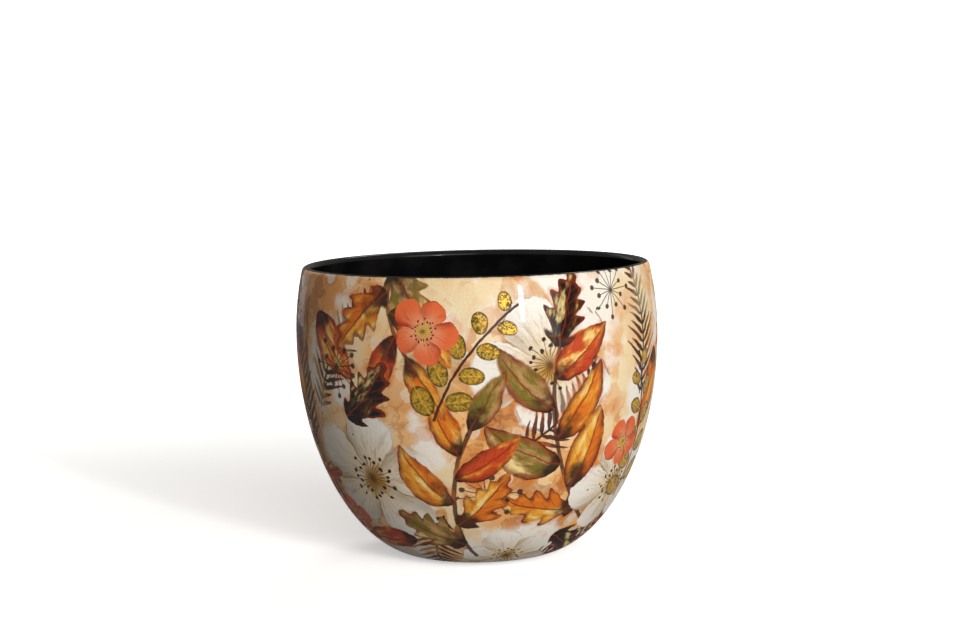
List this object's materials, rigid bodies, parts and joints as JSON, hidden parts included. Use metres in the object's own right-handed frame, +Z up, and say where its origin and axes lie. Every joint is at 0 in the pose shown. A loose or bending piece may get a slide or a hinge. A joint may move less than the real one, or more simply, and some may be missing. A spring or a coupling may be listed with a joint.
{
  "type": "cachepot",
  "caption": "Round free-standing ceramic cachepot: wall swelling from a small foot to a rounded lip, gloss black lining, printed film outside, rubber dots under the foot.",
  "frame": {"origin": "on the floor, under the centre of the foot ring", "axes": "+Z up along the pot's axis of revolution; the pot is round, so X and Y are free, and the rubber dots lie on the diagonals between them"},
  "size_m": [0.21, 0.21, 0.17],
  "materials": {
    "bare_ceramic": "matt fired clay",
    "black_glaze": "gloss black glaze",
    "printed_film": "watercolour leaf print in apricot, cream, amber, rust and dark brown under gloss lacquer",
    "black_rubber": "satin moulded rubber"
  },
  "bodies": {
    "root": {"ceramic_body": "bare_ceramic", "lining_glaze": "black_glaze", "print_film": "printed_film", "rubber_foot_1": "black_rubber", "rubber_foot_2": "black_rubber", "rubber_foot_3": "black_rubber", "rubber_foot_4": "black_rubber"}
  },
  "joints": []
}
